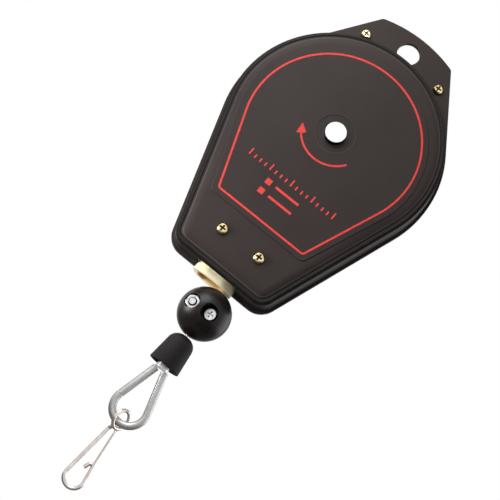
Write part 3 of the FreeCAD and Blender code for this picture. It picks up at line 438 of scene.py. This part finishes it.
def ball_plastic():
    """Moulded phenolic: dark brown-black, satin."""
    plastic = Finish("ball_plastic", 0.36)
    plastic.plain("Specular IOR Level", 0.2)
    colour = plastic.mottled(260, 4, (0.0085, 0.0062, 0.0058), (0.015, 0.0115, 0.0105))
    plastic.patterned("Base Color", colour)
    plastic.uneven_gloss(700, 0.26, 0.40)
    plastic.fine_bumps(2600, 2, 0.06, 0.1 * MM)
    return plastic.material


def cone_rubber():
    """Matt rubber with a moulded grain."""
    rubber = Finish("cone_rubber", 0.7)
    rubber.plain("Specular IOR Level", 0.2)
    colour = rubber.mottled(320, 4, (0.0075, 0.0062, 0.0060), (0.014, 0.0120, 0.0115))
    rubber.patterned("Base Color", colour)
    rubber.fine_bumps(3200, 3, 0.25, 0.1 * MM)
    return rubber.material


def cable_steel():
    """Laid steel cable."""
    steel = Finish("cable_steel", 0.35, 1.0)
    steel.patterned("Base Color", steel.mottled(900, 3, (0.42, 0.42, 0.44), (0.64, 0.64, 0.66)))
    return steel.material


def sheath_grey():
    """Grey drawn-steel sleeve with grain along the loop."""
    sheath = Finish("sheath_grey", 0.46, 1.0)
    sheath.plain("Specular Tint", (0.25, 0.25, 0.25, 1.0))
    grain = sheath.noise(1400, 2, stretch=(1.0, 1.0, 0.15))
    sheath.patterned("Base Color", sheath.colours(grain, (0.3, (0.40, 0.395, 0.385)),
                                                  (0.7, (0.49, 0.485, 0.475))))
    return sheath.material


def nickel():
    """Nickel-plated wire with a slightly warm tone."""
    wire = Finish("nickel", 0.2, 1.0)
    wire.plain("Specular Tint", (0.12, 0.09, 0.08, 1.0))
    wire.patterned("Base Color", wire.mottled(300, 2, (0.58, 0.52, 0.49), (0.74, 0.68, 0.65)))
    wire.uneven_gloss(1600, 0.14, 0.26)
    return wire.material


finishes = {
    "case_paint": case_paint(),
    "yellow_zinc": yellow_zinc(),
    "bright_steel": bright_steel(),
    "spring_steel": spring_steel(),
    "beige_nylon": beige_nylon(),
    "black_nylon": black_nylon(),
    "drum_plastic": drum_plastic(),
    "ball_plastic": ball_plastic(),
    "ball_fastener": ball_fastener_steel(),
    "cone_rubber": cone_rubber(),
    "cable_steel": cable_steel(),
    "sheath_grey": sheath_grey(),
    "nickel": nickel(),
}


def finish_nodes():
    """Give every CAD node the finish of its slot, and the shaft its own."""
    for node_name, slot in slot_of.items():
        for place in frame["nodes"][node_name].material_slots:
            place.material = finishes[slot]
    for place in frame["nodes"]["spring_shaft"].material_slots:
        place.material = shaft_steel()


# --- Mesh helpers ------------------------------------------------------------------------------
def start_clean():
    """Object mode with nothing selected."""
    if bpy.context.object and bpy.context.object.mode != "OBJECT":
        bpy.ops.object.mode_set(mode="OBJECT")
    bpy.ops.object.select_all(action="DESELECT")


def take(piece):
    """Select this piece alone."""
    start_clean()
    piece.select_set(True)
    bpy.context.view_layer.objects.active = piece


def new_piece(name):
    """Name the piece that was just added."""
    piece = bpy.context.object
    piece.name = name
    piece.data.name = name
    return piece


def dress(piece, material):
    piece.data.materials.clear()
    piece.data.materials.append(material)


def settle(piece, material, body):
    """Apply the piece's place to its mesh, give it its finish and its body."""
    take(piece)
    bpy.ops.object.transform_apply(location=True, rotation=True, scale=True)
    dress(piece, material)
    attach(piece, body)
    return piece


def apply_modifier(piece, name, kind, **settings):
    modifier = piece.modifiers.new(name, kind)
    for key, value in settings.items():
        setattr(modifier, key, value)
    bpy.ops.object.modifier_apply(modifier=name)


def rounded(node_name, piece_name, width, turn=0.0, finish=None):
    """The node's form with its sharp edges rounded over; it may be turned about the cable."""
    piece = bpy.data.objects.new(piece_name, frame["nodes"][node_name].data.copy())
    piece.data.name = piece_name
    bpy.context.collection.objects.link(piece)
    if turn:
        piece.data.transform(Matrix.Rotation(turn, 4, pull))
    take(piece)
    bpy.ops.object.mode_set(mode="EDIT")
    bpy.ops.mesh.select_all(action="SELECT")
    bpy.ops.mesh.remove_doubles(threshold=0.001 * MM)
    bpy.ops.mesh.dissolve_limited(angle_limit=flat_below)
    bpy.ops.object.mode_set(mode="OBJECT")
    apply_modifier(piece, "round", "BEVEL", width=width, segments=edge_segments, limit_method="ANGLE",
                   angle_limit=round_above, use_clamp_overlap=True)
    bpy.ops.object.shade_smooth_by_angle(angle=smooth_below)
    apply_modifier(piece, "flat_faces", "WEIGHTED_NORMAL", keep_sharp=True)
    name = slot_of[node_name]
    settle(piece, finishes[finish or name], body_of[node_name])
    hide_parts(node_name)
    return piece


def again(piece, name, shift, material, body):
    """Copy of a settled piece, with its own mesh, moved along."""
    twin = bpy.data.objects.new(name, piece.data.copy())
    twin.data.name = name
    twin.data.transform(Matrix.Translation(shift))
    bpy.context.collection.objects.link(twin)
    return settle(twin, material, body)


# --- Ink lines: an edge across the line is drawn along the face by extrude and spin -------------
def flat_point(centre, radius, degrees):
    turn = math.radians(degrees)
    return centre + Vector((radius * math.cos(turn), 0, radius * math.sin(turn)))


def heading(degrees):
    """Unit way in the face."""
    return flat_point(Vector((0, 0, 0)), 1, degrees)


def begin_line(name, start, turn, width):
    """Short first stretch of a line, flat at Y = 0; its leading edge is left selected, in edit mode."""
    start_clean()
    way = heading(turn)
    bpy.ops.mesh.primitive_plane_add(size=1, location=start + way * (first_stretch / 2),
                                     rotation=(math.pi / 2, math.radians(90 - turn), 0))
    piece = new_piece(name)
    piece.scale = (width, first_stretch, 1)
    bpy.ops.object.transform_apply(location=True, rotation=True, scale=True)
    bpy.ops.object.mode_set(mode="EDIT")
    bpy.ops.mesh.select_mode(type="VERT")
    bpy.ops.mesh.select_all(action="SELECT")
    bpy.ops.transform.resize(value=(1, 0, 1), center_override=(0, 0, 0))
    bpy.ops.mesh.select_all(action="DESELECT")
    bpy.ops.object.mode_set(mode="OBJECT")
    for vertex in piece.data.vertices:
        vertex.select = (vertex.co - start).dot(way) > first_stretch / 2
    bpy.ops.object.mode_set(mode="EDIT")
    bpy.ops.mesh.select_mode(type="EDGE")
    return piece


def draw_on(shift):
    bpy.ops.mesh.extrude_region_move(TRANSFORM_OT_translate={"value": shift})


def draw_straight(turn, length):
    draw_on(heading(turn) * length)


def draw_round(centre, degrees, steps):
    bpy.ops.mesh.spin(steps=steps, angle=math.radians(degrees), center=centre, axis=across_case)


def widen(share, middle):
    bpy.ops.transform.resize(value=(share, 1, share), center_override=middle)


def finish_line(piece, ink):
    """Close the line's joints, give the ink its thickness and lay it on the face."""
    bpy.ops.mesh.select_all(action="SELECT")
    bpy.ops.mesh.remove_doubles(threshold=joint_reach)
    bpy.ops.object.mode_set(mode="OBJECT")
    apply_modifier(piece, "ink", "SOLIDIFY", thickness=ink_thickness, offset=0)
    bpy.ops.object.mode_set(mode="EDIT")
    bpy.ops.mesh.select_all(action="SELECT")
    bpy.ops.mesh.normals_make_consistent(inside=False)
    bpy.ops.object.mode_set(mode="OBJECT")
    piece.location = (0, face_y - ink_thickness / 2, 0)
    return settle(piece, ink, "case")


# --- Printing on the face ----------------------------------------------------------------------
def border_line(ink):
    """Red line: most of a circle, two straight sides that touch it, and a flat bottom."""
    centre = Vector((0, 0, shaft_z - line_centre_drop))
    corner = Vector((line_corner_x, 0, shaft_z - line_bottom_drop))
    away = (corner - centre).length
    side_turn = math.degrees(math.atan2(corner.z - centre.z, corner.x) + math.acos(line_radius / away))
    start = flat_point(centre, line_radius, side_turn)
    corner_turn = 90 + side_turn
    cut_off = line_corner_radius * math.tan(math.radians(corner_turn / 2))
    side_length = (start - corner).length - cut_off
    left_centre = Vector((cut_off - corner.x, 0, corner.z + line_corner_radius))
    right_centre = Vector((corner.x - cut_off, 0, corner.z + line_corner_radius))
    piece = begin_line("border_line", start, corner_turn, line_width)
    draw_round(centre, 180 - 2 * side_turn, line_steps)
    draw_straight(-corner_turn, side_length)
    draw_round(left_centre, corner_turn, line_corner_steps)
    draw_straight(0, 2 * (corner.x - cut_off))
    draw_round(right_centre, corner_turn, line_corner_steps)
    draw_straight(corner_turn, side_length)
    return finish_line(piece, ink)


def turning_arrow(ink):
    """Curved arrow under the shaft, clockwise, with its head on the left."""
    centre = Vector((0, 0, shaft_z))
    tail = flat_point(centre, arrow_radius, arrow_tail)
    neck = flat_point(centre, arrow_radius, arrow_neck)
    tip = flat_point(centre, arrow_radius, arrow_tip)
    piece = begin_line("turning_arrow", tail, arrow_tail - 90, arrow_width)
    draw_round(centre, arrow_neck - arrow_tail, arrow_steps)
    draw_straight(arrow_neck - 90, arrow_shoulder)
    widen(arrow_head_width / arrow_width, neck)
    draw_on(tip - neck)
    widen(arrow_point, tip)
    return finish_line(piece, ink)


strokes_drawn = {}


def stroke(name, start, turn, length, width, ink):
    """Straight mark; where one of its size is drawn already, a copy of that one."""
    size = (turn, length, width)
    if size in strokes_drawn:
        first, first_start = strokes_drawn[size]
        return again(first, name, start - first_start, ink, "case")
    piece = begin_line(name, start, turn, width)
    draw_straight(turn, length)
    strokes_drawn[size] = (finish_line(piece, ink), start)
    return piece


def plain_marks(ink):
    """Generic marks: a row of strokes as a scale, and two squares with a plain bar each."""
    for k in range(scale_strokes):
        x = scale_half * (2 * k / (scale_strokes - 1) - 1)
        tall = short_stroke if k % long_stroke_every else long_stroke
        stroke("scale_stroke_%02d" % k, Vector((x, 0, shaft_z - scale_drop)), 90, tall, stroke_width, ink)
    for k, drop in enumerate(row_drops):
        z = shaft_z - drop
        stroke("tick_square_%d" % k, Vector((square_x, 0, z)), 0, square_side, square_side, ink)
        stroke("tick_bar_%d" % k, Vector((bar_x, 0, z)), 0, bar_length, bar_width, ink)


# --- Shaft end ---------------------------------------------------------------------------------
def bright_shaft_end(material):
    """Clean white face on the front end of the shaft."""
    start_clean()
    bpy.ops.mesh.primitive_circle_add(vertices=64, radius=shaft_face_radius, fill_type="NGON",
                                      location=(0, shaft_end_y - shaft_face_lift, shaft_z),
                                      rotation=(math.pi / 2, 0, 0))
    piece = new_piece("shaft_end_face")
    bpy.ops.object.mode_set(mode="EDIT")
    bpy.ops.mesh.select_all(action="SELECT")
    bpy.ops.mesh.inset(thickness=shaft_face_rim)
    bpy.ops.object.mode_set(mode="OBJECT")
    return settle(piece, material, "shaft")


# --- Rounded forms -----------------------------------------------------------------------------
def rounded_pieces():
    """Pressed and moulded pieces with soft edges; the ball hangs turned about the cable."""
    rounded("front_shell", "pressed_front_shell", shell_edge)
    rounded("rear_shell", "pressed_rear_shell", shell_edge)
    rounded("cable_guide", "guide_eye", guide_edge)
    rounded("rubber_cone", "rubber_bell", bell_edge)
    rounded("hang_plate_screws", "plate_screw_heads", screw_head_edge)
    rounded("case_screws", "case_screw_heads", screw_head_edge)
    rounded("stop_ball_front", "ball_front_half", ball_edge, ball_turn)
    rounded("stop_ball_rear", "ball_rear_half", ball_edge, ball_turn)
    rounded("ball_screws", "clamping_screws", clamping_screw_edge, ball_turn, "ball_fastener")
    rounded("ball_nuts", "clamping_nuts", clamping_nut_edge, ball_turn, "ball_fastener")


# --- Cable that pays out -----------------------------------------------------------------------
def paying_cable():
    """Laid cable between guide and ball."""
    low, high = [Vector(corner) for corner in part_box("free_cable")]
    top = pull * ((high.z - cable_radius) / pull.z)
    bottom = pull * ((low.z + cable_end_lift) / pull.z)
    way = (bottom - top).normalized()
    start_clean()
    bpy.ops.mesh.primitive_circle_add(vertices=cable_corners, radius=cable_radius, location=(0, 0, 0),
                                      fill_type="NGON")
    piece = new_piece("paying_cable")
    for k in range(0, cable_corners, strand_corners):
        piece.data.vertices[k].co *= strand_groove
    piece.data.transform(Matrix.Translation(top) @ pull.to_track_quat("Z", "Y").to_matrix().to_4x4())
    bpy.ops.object.mode_set(mode="EDIT")
    bpy.ops.mesh.select_all(action="SELECT")
    for _ in range(cable_steps):
        draw_on((bottom - top) / cable_steps)
    bpy.ops.mesh.select_all(action="SELECT")
    bpy.ops.mesh.normals_make_consistent(inside=False)
    bpy.ops.object.mode_set(mode="OBJECT")
    for vertex in piece.data.vertices:
        along = (vertex.co - top).dot(way)
        middle = top + way * along
        vertex.co = middle + Matrix.Rotation(along / cable_lay, 3, way) @ (vertex.co - middle)
    take(piece)
    dress(piece, finishes["cable_steel"])
    bpy.ops.object.shade_smooth_by_angle(angle=cable_smooth_below)
    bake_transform(piece)
    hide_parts("free_cable")
    return piece


# --- Camera and light --------------------------------------------------------------------------
camera_place = Vector((71.2, -536.7, -268.6)) * MM
camera_tip = math.radians(-13.54)
camera_swing = math.radians(7.15)
camera_roll = math.radians(40.71)
camera_lens = 79.2
camera_sensor = 36
floor_z = -1.72
floor_size = 10
floor_glow = 0.6
ambient_light = 0.20
white_light = 1.0
lamp_target = (0, 0, -0.09)


def add_camera():
    """Camera below and to the right of the face, rolled so that the case lies on the slant."""
    camera_data = bpy.data.cameras.new("camera")
    camera_data.sensor_width = camera_sensor
    camera_data.lens = camera_lens
    camera_data.clip_end = 20
    camera = bpy.data.objects.new("camera", camera_data)
    bpy.context.collection.objects.link(camera)
    to_view = Matrix(((1, 0, 0), (0, 0, -1), (0, 1, 0)))
    about_z = Matrix.Rotation(camera_roll, 3, "Z")
    about_x = Matrix.Rotation(camera_tip, 3, "X")
    about_y = Matrix.Rotation(camera_swing, 3, "Y")
    view = about_z @ about_x @ about_y @ to_view
    axes = Matrix((view[0], -view[1], -view[2])).transposed().to_4x4()
    axes.translation = camera_place
    camera.matrix_world = axes
    bpy.context.scene.camera = camera


def add_floor():
    """Pale floor well under the hook, also with the cable pulled out."""
    start_clean()
    bpy.ops.mesh.primitive_plane_add(size=floor_size, location=(0, 0, floor_z))
    floor = bpy.context.object
    floor.name = "floor"
    white = Finish("floor_white", 0.85)
    white.patterned("Base Color", white.mottled(3, 2, (0.85, 0.85, 0.85), (0.88, 0.88, 0.88)))
    rays = white.nodes.new("ShaderNodeLightPath")
    glow = white.nodes.new("ShaderNodeEmission")
    mix = white.nodes.new("ShaderNodeMixShader")
    white.links.new(white.maths("MULTIPLY", rays.outputs["Is Camera Ray"], floor_glow), mix.inputs["Fac"])
    white.links.new(white.shader.outputs["BSDF"], mix.inputs[1])
    white.links.new(glow.outputs[0], mix.inputs[2])
    white.links.new(mix.outputs[0], white.nodes["Material Output"].inputs["Surface"])
    floor.data.materials.append(white.material)


def add_world():
    """Soft studio: plain white where it is seen, mirrored or looked through."""
    world = bpy.data.worlds.new("studio")
    world.use_nodes = True
    nodes, links = world.node_tree.nodes, world.node_tree.links
    nodes.clear()
    rays = nodes.new("ShaderNodeLightPath")
    shown = rays.outputs["Is Camera Ray"]
    for kind in ("Is Transmission Ray", "Is Glossy Ray"):
        either = nodes.new("ShaderNodeMath")
        either.operation = "MAXIMUM"
        links.new(shown, either.inputs[0])
        links.new(rays.outputs[kind], either.inputs[1])
        shown = either.outputs[0]
    mix = nodes.new("ShaderNodeMixShader")
    links.new(shown, mix.inputs["Fac"])
    for k, strength in enumerate((ambient_light, white_light), 1):
        light = nodes.new("ShaderNodeBackground")
        light.inputs["Color"].default_value = (1, 1, 1, 1)
        light.inputs["Strength"].default_value = strength
        links.new(light.outputs[0], mix.inputs[k])
    out = nodes.new("ShaderNodeOutputWorld")
    links.new(mix.outputs[0], out.inputs["Surface"])
    bpy.context.scene.world = world


def add_area_light(name, place, target, size, watts, spread=180):
    """Lamp that shines at the target; the camera doesn't see it. The spread is in degrees."""
    data = bpy.data.lights.new(name, "AREA")
    data.shape = "RECTANGLE"
    data.size, data.size_y = size
    data.energy = watts
    data.spread = math.radians(spread)
    lamp = bpy.data.objects.new(name, data)
    bpy.context.collection.objects.link(lamp)
    lamp.visible_camera = False
    lamp.location = place
    lamp.rotation_euler = (Vector(target) - Vector(place)).to_track_quat("-Z", "Y").to_euler()


def add_lights():
    """Key close by on the upper left, a small one for the guide, one at the side and one behind."""
    add_area_light("key", place=(-0.17, -0.19, 0.06), target=(-0.02, 0, -0.05), size=(0.25, 0.25), watts=1.15)
    add_area_light("low", place=(-0.13, -0.045, -0.20), target=(0, 0, -0.143), size=(0.10, 0.10), watts=0.05,
                   spread=50)
    add_area_light("side", place=(0.9, 0.35, 0.1), target=lamp_target, size=(0.8, 0.8), watts=4)
    add_area_light("rim", place=(-0.2, 0.9, 0.5), target=lamp_target, size=(0.8, 0.5), watts=5)


# --- Build -------------------------------------------------------------------------------------
add_camera()
finish_nodes()
ink = red_print()
border_line(ink)
turning_arrow(ink)
plain_marks(ink)
bright_shaft_end(shaft_face())
rounded_pieces()
paying_cable()
add_floor()
add_world()
add_lights()
bpy.context.scene.view_settings.view_transform = "Standard"
